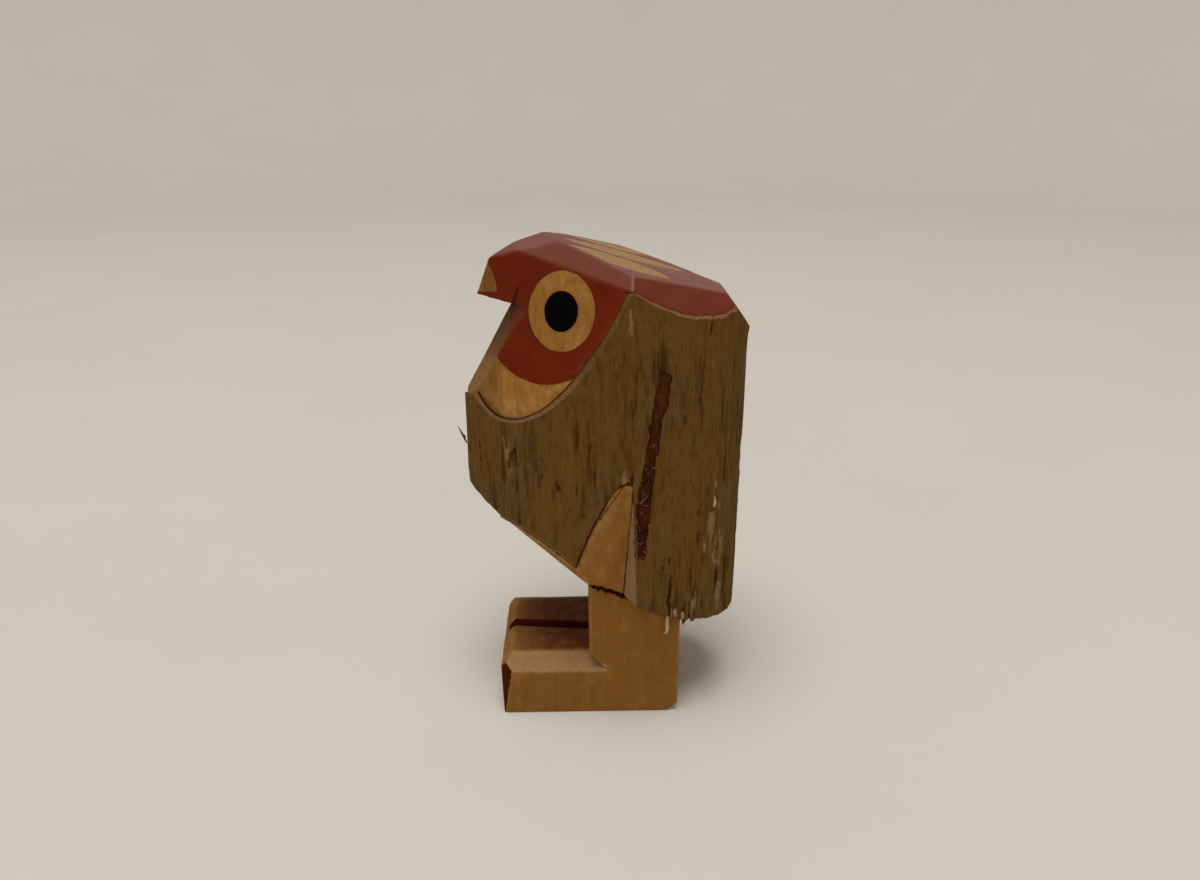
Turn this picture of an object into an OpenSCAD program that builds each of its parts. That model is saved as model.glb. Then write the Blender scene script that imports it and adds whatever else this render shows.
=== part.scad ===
// Knife-carved wooden bird figurine, cut from a short length of log with its bark left on.
// The beak points to -Y, the bird's left side is +X, and it stands on its feet at Z = 0.
// Every flat of the carving is one knife cut: a point on the cut, and the way the cut faces.
// Most cuts beside the beak and the legs come in pairs, mirrored about the X = 0 plane.

/* [Log] */
// Half width of the log's wood, under the bark
wood_half_w = 20.4; // [19.4:0.1:21]
// How far the wood reaches forward from the log's axis to the breast
breast_reach = 34.5; // [33.5:0.1:35.5]
// How far the wood reaches backward from the log's axis
back_reach = 26.9; // [26:0.1:28]
// How far the log's axis lies behind the middle of the feet
axis_y = 7; // [6.4:0.1:7.6]
// Thickness of the bark
bark_t = 0.5; // [0.4:0.1:1.4]

/* [Crown and brow] */
// Height of the crown's edge above the middle of the feet
crown_h = 104.9; // [104:0.1:106]
// How steeply the crown falls towards the back, in degrees
crown_fall = 15.6; // [14:0.2:17]
// Radius of the crown's slight hump from side to side
crown_round_r = 180; // [140:10:400]
// How far the brow's ridge rises above its lower end
brow_rise = 60.7; // [58:0.1:64]
// How steeply the nape falls, in degrees above level
nape_rise = 36.4; // [33:0.2:40]

/* [Beak] */
// Height of the beak's tip
beak_h = 95.4; // [94.6:0.1:96]
// How far the beak's tip lies in front of the middle of the feet
beak_out = 24.2; // [23.4:0.1:25]
// Height of the beak's front edge
beak_edge = 7.3; // [6.5:0.1:8]
// How far that edge leans back over its height
beak_lean = 2.7; // [2.2:0.1:3.2]

/* [Eyes] */
// How far each eye facet turns from the side towards the front, in degrees
face_turn = 34.3; // [33:0.1:36]
// How far each eye facet tips up, in degrees
face_rise = 11.8; // [11:0.1:13]
// Radius of the bare wooden ring round the pupil
eye_r = 8.1; // [7:0.1:8.4]
// Radius of the pupil
pupil_r = 4.1; // [3:0.1:5]
// Height of the middle of the eye
eye_h = 94.4; // [92.4:0.2:94.6]

/* [Underside] */
// Height of the underside at the middle of the feet
seat_h = 34; // [32:0.2:35]
// How far the underside falls towards the tail, in degrees
tail_fall = 21.8; // [19:0.2:24]
// How far the belly rises towards the breast, in degrees
belly_climb = 35; // [33:0.2:37]

/* [Legs and feet] */
// Half width of the legs and feet
feet_half_w = 16.4; // [15:0.2:17]
// How far the legs and feet sit to the left of the body's middle
feet_shift = 0.6; // [0:0.1:1]
// Half length of the feet
feet_half_l = 20.2; // [19.4:0.2:21]
// Height of the top of the feet
feet_h = 14; // [12:0.2:15]
// How far the front of the legs lies in front of the middle of the feet
shin_y = 0.3; // [-1:0.1:3]
// Width of the groove between the feet
toe_gap_w = 3.2; // [2:0.2:5]
// Depth of the groove between the feet
toe_gap_d = 2; // [1:0.2:4]

/* [Paint] */
// Thickness of the painted layers
paint_t = 0.25; // [0.15:0.05:0.5]

/* [Hidden] */

big = 200;                       // larger than the whole figure
round_fn = 96;
log_top = 116;
front_power = 1.45;              // the breast is narrow, the back is round
back_power = 2.15;
section_step = 5;                // degrees between the points of the log's outline

// a unit vector, turned from +X towards +Y and raised above level
function facing(turn, rise) =
    [cos(rise) * cos(turn), cos(rise) * sin(turn), sin(rise)];

// knife cuts as [a point on the cut, turn, rise]; the wood lies behind the cut
beak_tip = [0, -beak_out, beak_h];
beak_top = beak_tip + [0, beak_lean, beak_edge];
face_cut = [beak_tip, -face_turn, face_rise];
brow_cut = [beak_top, -60.2, brow_rise];
temple_cut = [[11.9, -4.1, 102.5], -25.7, 45.7];
poll_cut = [[19.8, 15.2, 96.5], 32.3, 40.6];
nape_cut = [[0, 27.3, 98.5], 90, nape_rise];
right_nape_cut = [[-4.2, 20.2, 100.05], 126.4, 42];
throat_cut = [[0, -16.8, 93.1], -67.4, 26.8];
throat_top_cut = [beak_tip, 90, 83.5];
belly_cut = [[0, 0, seat_h - 0.4], -90, -90 + belly_climb];
tail_cut = [[0, 0, seat_h], -90, -90 + tail_fall];
tail_end_cut = [[0, 21, seat_h - 8.4], -90, -90 + 15.1];
belly_side_cut = [[13, -10.5, 40.6], -39.8, -25.2];
thigh_cut = [[17.1, 7.2, 29.2], -2, -6.9];
thigh_stop_cut = [[17.1, 7.2, 29.2], -51.3, -1.6];

// the eye's middle lies on the eye facet
face_n = facing(-face_turn, face_rise);
eye_y = -5.6;
eye_x = ((beak_tip - [0, eye_y, eye_h]) * face_n) / face_n[0];
eye_at = [eye_x, eye_y, eye_h];
cheek_r = 17;                    // lower edge of the face paint
cheek_at = [-4.3, 1.6];          // its middle, along the facet from the eye
cheek_top = -7;
bare_d = 2;                      // how deep the bare patches reach into the facets
beak_bare_r = 8.9;               // back edge of the bare beak tip
beak_bare_at = [-6, -28.2, 96.4];
beak_bare_w = 12;

crown_hump = 0.8;                // how far the crown's middle stands over its edges
side_stripe = [22.5, 9];         // length and width
mid_stripe = [27.5, 8.5];
side_stripe_at = [9.2, 6];
mid_stripe_at = [0, 7.8];
stripe_turn = 15;

// everything behind a cut
module behind(c) {
    translate(c[0]) rotate([0, 90 - c[2], c[1]])
        translate([-big / 2, -big / 2, -big]) cube([big, big, big]);
}

// everything in front of a cut, from a small depth under it
module before(c, depth) {
    translate(c[0]) rotate([0, 90 - c[2], c[1]])
        translate([-big / 2, -big / 2, -depth]) cube([big, big, big]);
}

module both_sides() {
    children();
    mirror([1, 0, 0]) children();
}

module behind_both(c) {
    intersection() {
        behind(c);
        mirror([1, 0, 0]) behind(c);
    }
}

// outline of the log: a rounded oval, narrower towards the breast
function power_of(a) = a > 180 ? front_power : back_power;
function reach_of(a) = a > 180 ? breast_reach : back_reach;
function bent(v, n) = sign(v) * pow(abs(v), 2 / n);
function log_points(grow) = [
    for (a = [0 : section_step : 360 - section_step])
        [(wood_half_w + grow) * bent(cos(a), power_of(a)),
         axis_y + (reach_of(a) + grow) * bent(sin(a), power_of(a))]];

module log_column(grow) {
    linear_extrude(height = log_top) polygon(log_points(grow));
}

// a long drum whose top line is the crown's middle
module crown_drum(inset) {
    translate([0, 0, crown_h + crown_hump]) rotate([-crown_fall, 0, 0])
        translate([0, big / 2, -crown_round_r]) rotate([90, 0, 0])
            cylinder(r = crown_round_r - inset, h = big, $fn = round_fn);
}

// the thighs are cut in, level with the legs
module thigh_notch() {
    intersection() {
        before(thigh_cut, 0);
        before(thigh_stop_cut, 0);
        translate([0, -big / 2, 20]) cube([big, big, 60]);
    }
}

// the hollow under the beak: under its sole and in front of the throat
module throat_notch() {
    difference() {
        behind(throat_top_cut);
        behind_both(throat_cut);
        translate([-big / 2, -big / 2, -big / 2]) cube([big, big, 60 + big / 2]);
    }
}

// the whole carving, cut from a log whose outline has grown by a bark's thickness
module carved(grow) {
    difference() {
        intersection() {
            log_column(grow);
            crown_drum(0);
            behind_both(face_cut);
            behind_both(brow_cut);
            behind_both(temple_cut);
            behind_both(poll_cut);
            behind(nape_cut);
            behind(right_nape_cut);
            behind(belly_cut);
            behind(tail_cut);
            behind(tail_end_cut);
            behind_both(belly_side_cut);
        }
        throat_notch();
        both_sides() thigh_notch();
    }
}

// moves to the middle of the left eye, with +Z straight out of the facet
module at_eye() {
    translate(eye_at) rotate([0, 90 - face_rise, -face_turn]) rotate([0, 0, 90]) children();
}

module eye_disc(r, depth) {
    at_eye() translate([0, 0, -depth]) cylinder(r = r, h = 2 * depth, $fn = round_fn);
}

module cheek_bare() {
    at_eye() difference() {
        translate([-30, -40, -bare_d]) cube([60, 40 + cheek_top, 2 * bare_d]);
        translate([cheek_at[0], cheek_at[1], -bare_d - 1])
            cylinder(r = cheek_r, h = 2 * bare_d + 2, $fn = round_fn);
    }
}

module beak_bare() {
    translate(beak_bare_at) rotate([0, 90, 0])
        cylinder(r = beak_bare_r, h = beak_bare_w, $fn = round_fn);
}

// a leaf-shaped stripe, pointed at both ends
module leaf(size) {
    l = size[0];
    w = size[1];
    r = (l * l + w * w) / (4 * w);
    intersection() {
        translate([r - w / 2, 0, 90]) cylinder(r = r, h = 25, $fn = round_fn);
        translate([w / 2 - r, 0, 90]) cylinder(r = r, h = 25, $fn = round_fn);
    }
}

module crown_stripes() {
    both_sides() translate(side_stripe_at) rotate([0, 0, -stripe_turn]) leaf(side_stripe);
    translate(mid_stripe_at) leaf(mid_stripe);
}

// the space that the paint of one eye facet fills
module face_paint_space() {
    difference() {
        before(face_cut, paint_t);
        eye_disc(eye_r, bare_d);
        cheek_bare();
        beak_bare();
    }
}

// the space that the paint of brow, crown, temples and nape fills
module crown_paint_space() {
    difference() {
        union() {
            both_sides() {
                before(brow_cut, paint_t);
                before(temple_cut, paint_t);
                before(poll_cut, paint_t);
            }
            before(nape_cut, paint_t);
            before(right_nape_cut, paint_t);
            difference() {
                translate([-big / 2, -big / 2, 80]) cube([big, big, big]);
                crown_drum(paint_t);
                crown_stripes();
            }
        }
        beak_bare();
    }
}

// outline of the groove that marks the front of the wing, as Y and Z
wing_groove_outline = [[14.1, 84.3], [16.8, 82.9], [14, 67], [12.2, 51.5], [11.2, 42.5],
                       [10.4, 42.5], [10, 53.5], [11, 65]];
wing_groove_floor = wood_half_w - 1.6;

module wing_groove(from, to) {
    translate([from, 0, 0]) rotate([90, 0, 90])
        linear_extrude(height = to - from) polygon(wing_groove_outline);
}

module body_core() {
    color("burlywood") difference() {
        carved(0);
        crown_paint_space();
        both_sides() {
            face_paint_space();
            eye_disc(pupil_r, paint_t);
            wing_groove(wing_groove_floor, big);
        }
    }
}

module bark_skin() {
    color("olivedrab") difference() {
        carved(bark_t);
        log_column(0);
        crown_paint_space();
        both_sides() wing_groove(10, big);
    }
}

module left_face_paint() {
    color("firebrick") difference() {
        intersection() {
            carved(0);
            face_paint_space();
        }
        crown_paint_space();
        translate([-big, -big / 2, 0]) cube([big, big, big]);
    }
}
module right_face_paint() { mirror([1, 0, 0]) left_face_paint(); }

module crown_paint() {
    color("indianred") intersection() {
        carved(bark_t);
        crown_paint_space();
    }
}

module left_pupil() {
    color("black") at_eye() translate([0, 0, -paint_t])
        cylinder(r = pupil_r, h = paint_t, $fn = round_fn);
}
module right_pupil() { mirror([1, 0, 0]) left_pupil(); }

module left_wing_groove_paint() {
    color("maroon") wing_groove(wing_groove_floor, wing_groove_floor + paint_t);
}
module right_wing_groove_paint() { mirror([1, 0, 0]) left_wing_groove_paint(); }

// side view of the legs and feet, as Y and Z
leg_top = 60;
feet_outline = [[-feet_half_l, 0], [feet_half_l - 2.6, 0], [feet_half_l, 1.9],
                [feet_half_l, leg_top], [-shin_y, leg_top], [-shin_y, feet_h],
                [1.8 - feet_half_l, feet_h], [-feet_half_l - 0.7, feet_h - 3]];
foot_bevel_cut = [[feet_half_w, 0, feet_h - 2.6], 0, 58.5];
toe_corner_cut = [[feet_half_w, -feet_half_l, 0], -49, 7.4];
seat_cut = [[0, 0, seat_h], 90, 90 - tail_fall];

module feet_blank() {
    translate([-feet_half_w, 0, 0]) rotate([90, 0, 90])
        linear_extrude(height = 2 * feet_half_w) polygon(feet_outline);
}

// the bevel runs along the outer edge of the left foot, up to the front of the leg
module foot_bevel_waste() {
    intersection() {
        before(foot_bevel_cut, 0);
        translate([0, -big - shin_y, 0]) cube([big, big, big]);
    }
}

module toe_gap(height) {
    translate([-toe_gap_w / 2, -big - shin_y, feet_h - toe_gap_d])
        cube([toe_gap_w, big, height]);
}

module leg_block() {
    color("peru") translate([feet_shift, 0, 0]) difference() {
        intersection() {
            feet_blank();
            behind(seat_cut);
        }
        both_sides() {
            foot_bevel_waste();
            before(toe_corner_cut, paint_t);
        }
        toe_gap(big);
    }
}

module toe_gap_paint() {
    color("maroon") translate([feet_shift, 0, 0]) intersection() {
        feet_blank();
        toe_gap(paint_t);
    }
}

module toe_paint() {
    difference() {
        intersection() {
            feet_blank();
            behind(toe_corner_cut);
            before(toe_corner_cut, paint_t);
        }
        foot_bevel_waste();
    }
}
module left_toe_paint() { color("maroon") translate([feet_shift, 0, 0]) toe_paint(); }
module right_toe_paint() {
    color("maroon") translate([feet_shift, 0, 0]) mirror([1, 0, 0]) toe_paint();
}

body_core();
bark_skin();
leg_block();
left_face_paint();
right_face_paint();
crown_paint();
left_pupil();
right_pupil();
left_wing_groove_paint();
right_wing_groove_paint();
toe_gap_paint();
left_toe_paint();
right_toe_paint();
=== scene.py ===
"""A knife-carved wooden bird with its bark left on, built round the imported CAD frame."""
import math

import bpy
import numpy as np
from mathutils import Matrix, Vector


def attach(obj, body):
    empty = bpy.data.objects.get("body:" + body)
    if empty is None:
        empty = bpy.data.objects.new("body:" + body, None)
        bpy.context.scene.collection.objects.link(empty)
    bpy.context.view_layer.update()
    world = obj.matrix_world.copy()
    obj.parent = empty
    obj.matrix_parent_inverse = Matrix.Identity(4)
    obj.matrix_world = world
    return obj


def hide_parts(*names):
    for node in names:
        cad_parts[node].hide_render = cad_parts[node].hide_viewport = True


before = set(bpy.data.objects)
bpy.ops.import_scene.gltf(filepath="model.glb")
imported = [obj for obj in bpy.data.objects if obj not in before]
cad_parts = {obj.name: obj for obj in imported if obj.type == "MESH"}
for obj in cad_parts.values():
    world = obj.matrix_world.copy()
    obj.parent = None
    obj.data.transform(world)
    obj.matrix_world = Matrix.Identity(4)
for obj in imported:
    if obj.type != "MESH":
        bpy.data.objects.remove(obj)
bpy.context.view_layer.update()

MM = 0.001
GRID = 0.33

# ---------------- the carving's own numbers, in mm
WOOD_HALF_W, BREAST, BACK, AXIS_Y = 20.4, 34.5, 26.9, 7.0
FRONT_POWER, BACK_POWER = 1.45, 2.15
BARK_T = 0.55
CROWN_H, CROWN_FALL, CROWN_R = 105.7, 15.6, 180.0
BEAK_TIP = (0.0, -24.2, 95.4)
BEAK_TOP = (0.0, -21.5, 102.7)
FACE_TURN, FACE_RISE = 34.3, 12.4
SEAT_H = 34.0
FACE = (BEAK_TIP, -FACE_TURN, FACE_RISE)
BROW_A = (BEAK_TOP, -51.5, 52.0)
BROW_B = ((0.0, -15.3, 106.4), -39.7, 62.0)
TEMPLE = ((11.9, -4.1, 102.5), -25.7, 45.7)
POLL = ((19.8, 15.2, 96.5), 32.3, 40.6)
NAPE = ((0.0, 27.3, 98.5), 90.0, 36.4)
RIGHT_NAPE = ((-4.2, 20.2, 100.05), 126.4, 42.0)
THROAT = ((0.0, -16.8, 93.1), -67.4, 26.8)
BEAK_SOLE = (BEAK_TIP, 90.0, 83.5)
BELLY = ((0.0, 0.0, SEAT_H - 0.4), -90.0, -55.0)
TAIL = ((0.0, 0.0, SEAT_H), -90.0, -68.2)
TAIL_END = ((0.0, 21.0, SEAT_H - 8.4), -90.0, -74.9)
BELLY_SIDE = ((13.0, -10.5, 40.6), -39.8, -25.2)
THIGH = ((17.1, 7.2, 29.2), 0.5, -7.0)
THIGH_STOP = ((17.1, 7.2, 29.2), -51.3, -1.6)
THIGH_TIP = [(2.0, 51.0), (9.0, 62.5), (9.0, 50.0)]
GROOVE = [(14.1, 84.3), (16.8, 82.9), (14.0, 67.0), (12.2, 51.5), (11.2, 42.5),
          (10.4, 42.5), (10.0, 53.5), (11.0, 65.0)]
GROOVE_FLOOR = WOOD_HALF_W - 1.5
EYE_Y, EYE_Z, EYE_R, PUPIL_R = -5.6, 94.4, 8.1, 4.1
CHEEK_R, CHEEK_AT = 17.0, (-4.3, 1.6)
BEAK_BARE = (-28.2, 96.4, 8.9)
STRIPES = [((9.2, 6.0), -15.0, 22.5, 8.9), ((-9.2, 6.0), 15.0, 22.5, 8.9), ((0.0, 7.8), 0.0, 27.5, 8.3)]
FEET_X, FEET_HALF_W, FEET_BACK, FEET_TOP, SHIN_Y = 0.6, 16.4, 20.2, 14.0, -0.3
WAVE_SLOW, WAVE_QUICK = 0.055, 0.04
FACE_LIFT, TOP_LIFT, STAIN_LIFT = 0.05, 0.07, 0.03


# ---------------- noise
def lattice(ix, iy, iz, seed):
    n = (ix * 374761393 + iy * 668265263 + iz * 1440662683 + seed * 1274126177) & 0xFFFFFFFF
    n = ((n ^ (n >> 13)) * 1103515245) & 0xFFFFFFFF
    n = ((n ^ (n >> 15)) * 668265263) & 0xFFFFFFFF
    return ((n ^ (n >> 16)) & 0xFFFFFF) / float(0xFFFFFF)


def noise(p, seed=0):
    """Smooth value noise from -1 to 1 at points p."""
    i = np.floor(p).astype(np.int64)
    f = p - i
    f = f * f * f * (f * (f * 6 - 15) + 10)
    out = np.zeros(len(p))
    for dx in (0, 1):
        wx = f[:, 0] if dx else 1 - f[:, 0]
        for dy in (0, 1):
            wy = f[:, 1] if dy else 1 - f[:, 1]
            for dz in (0, 1):
                wz = f[:, 2] if dz else 1 - f[:, 2]
                out += wx * wy * wz * lattice(i[:, 0] + dx, i[:, 1] + dy, i[:, 2] + dz, seed)
    return out * 2 - 1


def fbm(p, octaves, seed=0):
    total, size = 0.0, 0.0
    for k in range(octaves):
        total = total + noise(p * 2 ** k + 7.3 * k, seed + k) * 0.5 ** k
        size += 0.5 ** k
    return total / size


def smooth(lo, hi, v):
    t = np.clip((v - lo) / (hi - lo), 0, 1)
    return t * t * (3 - 2 * t)


# ---------------- distances
def facing(turn, rise):
    t, r = math.radians(turn), math.radians(rise)
    return np.array([math.cos(r) * math.cos(t), math.cos(r) * math.sin(t), math.sin(r)])


def soft_abs(x):
    return np.sqrt(x * x + 0.04)


def cut(c, x, y, z):
    """Signed distance to a knife cut, positive in front of it. Paired cuts get |x|."""
    n = facing(c[1], c[2])
    return n[0] * (x - c[0][0]) + n[1] * (y - c[0][1]) + n[2] * (z - c[0][2])


def both_max(a, b, k):
    """The higher of two distances, rounded over by k where they meet."""
    return np.maximum(a, b) + np.maximum(k - np.abs(a - b), 0) ** 2 / (4 * k)


def crown_cut(x, y, z):
    f = math.radians(CROWN_FALL)
    w = y * math.sin(f) + (z - CROWN_H) * math.cos(f)
    return np.sqrt(x * x + (w + CROWN_R) ** 2) - CROWN_R


def polygon_sd(pts, u, v):
    """Signed distance to a closed polygon, negative inside."""
    best = np.full(np.shape(u), 1e9)
    inside = np.zeros(np.shape(u), bool)
    for (ax, ay), (bx, by) in zip(pts, pts[1:] + pts[:1]):
        ex, ey = bx - ax, by - ay
        t = np.clip(((u - ax) * ex + (v - ay) * ey) / (ex * ex + ey * ey), 0, 1)
        best = np.minimum(best, np.hypot(u - ax - t * ex, v - ay - t * ey))
        if ay != by:
            cross = (ay > v) != (by > v)
            inside ^= cross & (u < ex * (v - ay) / (by - ay) + ax)
    return np.where(inside, -best, best)


def log_outline(count):
    """Points and outward normals round the log, evenly spaced."""
    a = np.linspace(0, 2 * math.pi, 8001)[:-1]
    p = np.where(np.sin(a) < 0, FRONT_POWER, BACK_POWER)
    reach = np.where(np.sin(a) < 0, BREAST, BACK)
    x = WOOD_HALF_W * np.sign(np.cos(a)) * np.abs(np.cos(a)) ** (2 / p)
    y = AXIS_Y + reach * np.sign(np.sin(a)) * np.abs(np.sin(a)) ** (2 / p)
    pts = np.stack([x, y], 1)
    for step in range(2):
        seg = np.linalg.norm(np.roll(pts, -1, 0) - pts, axis=1)
        s = np.concatenate([[0], np.cumsum(seg)])
        ring = np.vstack([pts, pts[:1]])
        t = np.linspace(0, s[-1], count + 1)[:-1]
        pts = np.stack([np.interp(t, s, ring[:, k]) for k in (0, 1)], 1)
        if step == 0:
            reach_mm = 1.8 / (s[-1] / count)
            k = np.arange(-40, 41)
            w = np.exp(-0.5 * (k / reach_mm) ** 2)
            w /= w.sum()
            pts = sum(wi * np.roll(pts, ki, 0) for wi, ki in zip(w, k))
    tangent = np.roll(pts, -1, 0) - np.roll(pts, 1, 0)
    tangent /= np.linalg.norm(tangent, axis=1)[:, None]
    return pts, np.stack([tangent[:, 1], -tangent[:, 0]], 1)


RING_COUNT = 900
RING, RING_N = log_outline(RING_COUNT)


def column_sd(x, y):
    """Signed distance to the log's outline at flat arrays of points."""
    out = np.empty(len(x))
    for i in range(0, len(x), 20000):
        px, py = x[i:i + 20000, None], y[i:i + 20000, None]
        near = np.argmin((px - RING[:, 0]) ** 2 + (py - RING[:, 1]) ** 2, axis=1)
        d = np.stack([px[:, 0], py[:, 0]], 1) - RING[near]
        out[i:i + 20000] = np.sum(d * RING_N[near], 1)
    return out


# ---------------- meshing
def grid_axes(lo, hi):
    return (np.arange(lo[k], hi[k] + GRID, GRID, dtype=np.float32) for k in range(3))


def surface_nets(F, origin):
    """Vertices and quads of the zero level of F on the grid, inside where F < 0."""
    inside = F < 0
    ny, nz = F.shape[1:]
    ids_all, pos_all, quads_flip = [], [], []
    for a in range(3):
        lo = [slice(None)] * 3
        hi = [slice(None)] * 3
        lo[a], hi[a] = slice(0, -1), slice(1, None)
        A, B = F[tuple(lo)], F[tuple(hi)]
        hit = np.nonzero(inside[tuple(lo)] != inside[tuple(hi)])
        fa, fb = A[hit].astype(np.float64), B[hit].astype(np.float64)
        pos = np.stack(hit, 1).astype(np.float64)
        pos[:, a] += fa / (fa - fb)
        b, c = (a + 1) % 3, (a + 2) % 3
        cell = np.stack(hit, 1)
        corners = []
        for db, dc in ((0, 0), (-1, 0), (-1, -1), (0, -1)):
            q = cell.copy()
            q[:, b] += db
            q[:, c] += dc
            corners.append((q[:, 0] * ny + q[:, 1]) * nz + q[:, 2])
        ids_all.append(np.stack(corners, 1))
        pos_all.append(pos)
        quads_flip.append(fa > 0)
    ids, pos, flip = np.vstack(ids_all), np.vstack(pos_all), np.concatenate(quads_flip)
    inv = np.unique(ids.ravel(), return_inverse=True)[1]
    weight = np.bincount(inv)
    V = np.stack([np.bincount(inv, np.repeat(pos[:, k], 4)) / weight for k in range(3)], 1)
    Q = inv.reshape(-1, 4)
    Q[flip] = Q[flip][:, ::-1]
    return V * GRID + np.array(origin), Q


def normals(V, T):
    n = np.cross(V[T[:, 1]] - V[T[:, 0]], V[T[:, 2]] - V[T[:, 0]])
    out = np.stack([sum(np.bincount(T[:, j], n[:, k], len(V)) for j in range(3)) for k in range(3)], 1)
    return out / np.maximum(np.linalg.norm(out, axis=1), 1e-12)[:, None]


def triangles(Q):
    return np.vstack([Q[:, [0, 1, 2]], Q[:, [0, 2, 3]]])


def clip(V, T, A, f):
    """The part of a triangle mesh where f > 0, cut cleanly along f = 0. A holds attributes."""
    f = np.where(np.abs(f) < 1e-6, 1e-6, f)
    pos = f > 0
    count = pos[T].sum(1)
    whole = T[count == 3]
    fresh = []

    def edge(a, b):
        fresh.append(np.stack([a, b], 1))

    def roll(tri, first):
        r = np.arange(len(tri))
        return tri[r, first], tri[r, (first + 1) % 3], tri[r, (first + 2) % 3]

    one, two = T[count == 1], T[count == 2]
    a, b, c = roll(one, np.argmax(pos[one], 1))
    edge(a, b)
    edge(a, c)
    d, g, k = roll(two, np.argmin(pos[two], 1))
    edge(d, g)
    edge(d, k)
    pairs = np.sort(np.vstack(fresh), 1)
    uniq, inv = np.unique(pairs, axis=0, return_inverse=True)
    inv = inv.ravel() + len(V)
    parts, at = [], 0
    for x in fresh:
        parts.append(inv[at:at + len(x)])
        at += len(x)
    t = (f[uniq[:, 0]] / (f[uniq[:, 0]] - f[uniq[:, 1]]))

    def blend(q):
        w = t if q.ndim == 1 else t[:, None]
        return np.concatenate([q, q[uniq[:, 0]] * (1 - w) + q[uniq[:, 1]] * w])

    V, A = blend(V), {key: blend(q) for key, q in A.items()}
    T = np.vstack([whole,
                   np.stack([a, parts[0], parts[1]], 1),
                   np.stack([parts[2], g, k], 1),
                   np.stack([parts[2], k, parts[3]], 1)])
    return tidy(V, T, A)


def tidy(V, T, A):
    used, inv = np.unique(T.ravel(), return_inverse=True)
    return V[used], inv.reshape(-1, 3), {key: q[used] for key, q in A.items()}


def rim(T):
    """Directed boundary edges of a triangle mesh."""
    e = np.vstack([T[:, [0, 1]], T[:, [1, 2]], T[:, [2, 0]]])
    key = np.sort(e, 1)
    _, first, n = np.unique(key, axis=0, return_index=True, return_counts=True)
    return e[first[n == 1]]


def with_skirt(V, T, A, inward, rings, dive):
    """Adds a wall below the boundary: rings are its depths, and past the last it dives into the wood."""
    edges = rim(T)
    ids, inv = np.unique(edges.ravel(), return_inverse=True)
    e = inv.reshape(-1, 2)
    vs, ts = [V], [T]
    at = {key: [q] for key, q in A.items()}
    at["depth"] = [np.zeros(len(V))]
    base = len(V)
    for k, depth in enumerate(rings + rings[-1:]):
        vs.append(V[ids] + inward[ids] * depth + (dive[ids] if k == len(rings) else 0))
        for key, q in A.items():
            at[key].append(q[ids])
        at["depth"].append(np.full(len(ids), depth + 1e-3))
        if k:
            lo, up = base + k * len(ids), base + (k - 1) * len(ids)
            a0, b0, a1, b1 = e[:, 0] + up, e[:, 1] + up, e[:, 0] + lo, e[:, 1] + lo
            ts += [np.stack([b0, a0, a1], 1), np.stack([b0, a1, b1], 1)]
    return np.vstack(vs), np.vstack(ts), {key: np.concatenate(q) for key, q in at.items()}


def piece(name, V, faces, A, mat, replaces=()):
    """A Blender object from numpy arrays in mm, riding on the part's one body."""
    mesh = bpy.data.meshes.new(name)
    faces = np.asarray(faces)
    k = faces.shape[1]
    mesh.vertices.add(len(V))
    mesh.vertices.foreach_set("co", (np.asarray(V) * MM).astype(np.float32).ravel())
    mesh.loops.add(faces.size)
    mesh.loops.foreach_set("vertex_index", faces.astype(np.int32).ravel())
    mesh.polygons.add(len(faces))
    mesh.polygons.foreach_set("loop_start", np.arange(0, faces.size, k, dtype=np.int32))
    mesh.update(calc_edges=True)
    mesh.polygons.foreach_set("use_smooth", np.ones(len(faces), bool))
    for key, q in A.items():
        layer = mesh.attributes.new(key, "FLOAT", "POINT")
        layer.data.foreach_set("value", q.astype(np.float32))
    mesh.materials.append(mat)
    mesh.validate()
    obj = bpy.data.objects.new(name, mesh)
    bpy.context.scene.collection.objects.link(obj)
    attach(obj, "root")
    if replaces:
        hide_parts(*replaces)
    return obj


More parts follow.
